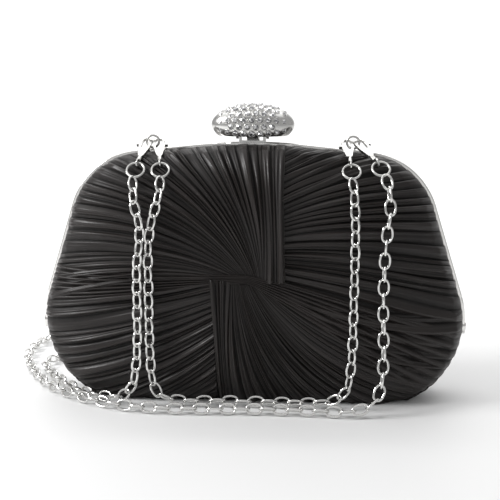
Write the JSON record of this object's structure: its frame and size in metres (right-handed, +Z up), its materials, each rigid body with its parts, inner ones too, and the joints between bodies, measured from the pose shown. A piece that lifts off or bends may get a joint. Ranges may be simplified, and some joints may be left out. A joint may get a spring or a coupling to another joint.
{
  "type": "evening bag",
  "caption": "Hard half-frame evening clutch in dark knotted satin, with a stone-set rocking clasp, hinged halves and two clip-on cable chains.",
  "frame": {"origin": "middle of the base on the surface it stands on", "axes": "+Z up, the front faces -Y, +X to the right seen from the front"},
  "size_m": [0.2496, 0.1825, 0.1529],
  "materials": {
    "satin": "pleated black satin with a soft sheen",
    "lining": "smooth dark lining cloth",
    "moulded_shell": "moulded stiffener, hidden",
    "frame_metal": "polished nickel plate",
    "clasp_metal": "polished nickel plate",
    "fitting_metal": "polished nickel plate",
    "chain_metal": "polished nickel plate",
    "stones": "faceted clear stones, foil backed"
  },
  "bodies": {
    "front_half": {"front_shell": "moulded_shell", "front_lining": "lining", "satin_upper_left": "satin", "satin_upper_right": "satin", "satin_lower_right": "satin", "satin_lower_left": "satin", "satin_knot": "satin", "bottom_gusset": "satin", "front_frame": "frame_metal", "hinge_rivets": "fitting_metal", "chain_loop_left": "fitting_metal", "chain_loop_right": "fitting_metal", "clasp_bracket": "clasp_metal", "clasp_pivot_pin": "clasp_metal", "clasp_spring": "clasp_metal", "lobster_pins": "fitting_metal", "lobster_long_left": "fitting_metal", "lobster_short_left": "fitting_metal", "lobster_short_right": "fitting_metal", "lobster_long_right": "fitting_metal", "swivel_long_left": "fitting_metal", "swivel_short_left": "fitting_metal", "swivel_short_right": "fitting_metal", "swivel_long_right": "fitting_metal", "jump_ring_long_left": "chain_metal", "jump_ring_short_left": "chain_metal", "jump_ring_short_right": "chain_metal", "jump_ring_long_right": "chain_metal", "short_chain": "chain_metal", "long_chain_left": "chain_metal", "long_chain_right": "chain_metal", "long_chain_coil": "chain_metal"},
    "back_half": {"back_shell": "moulded_shell", "back_lining": "lining", "back_satin": "satin", "back_frame": "frame_metal", "clasp_catch": "clasp_metal"},
    "clasp": {"clasp_rocker": "clasp_metal", "clasp_dome": "clasp_metal", "clasp_stones": "stones"},
    "lever_long_left": {"lever_long_left": "fitting_metal"},
    "lever_short_left": {"lever_short_left": "fitting_metal"},
    "lever_short_right": {"lever_short_right": "fitting_metal"},
    "lever_long_right": {"lever_long_right": "fitting_metal"}
  },
  "joints": [
    {"name": "frame_hinge", "type": "hinge", "parent": "front_half", "child": "back_half", "pos_m": [0, 0, 0.038], "axis": [-1, 0, 0], "range_deg": [0, 30], "deforming": ["bottom_gusset"]},
    {"name": "clasp_rock", "type": "hinge", "parent": "front_half", "child": "clasp", "pos_m": [0, -0.00215, 0.13606], "axis": [1, 0, 0], "range_deg": [0, 12]},
    {"name": "lever_long_left_pivot", "type": "hinge", "parent": "front_half", "child": "lever_long_left", "pos_m": [-0.0569, -0.00962, 0.12923], "axis": [0, 0.5287, -0.8488], "range_deg": [0, 16]},
    {"name": "lever_short_left_pivot", "type": "hinge", "parent": "front_half", "child": "lever_short_left", "pos_m": [-0.0451, -0.00962, 0.12923], "axis": [0, -0.5287, 0.8488], "range_deg": [0, 16]},
    {"name": "lever_short_right_pivot", "type": "hinge", "parent": "front_half", "child": "lever_short_right", "pos_m": [0.04687, -0.01002, 0.12898], "axis": [0, 0.5287, -0.8488], "range_deg": [0, 16]},
    {"name": "lever_long_right_pivot", "type": "hinge", "parent": "front_half", "child": "lever_long_right", "pos_m": [0.05912, -0.00845, 0.12996], "axis": [0, -0.5287, 0.8488], "range_deg": [0, 16]}
  ]
}
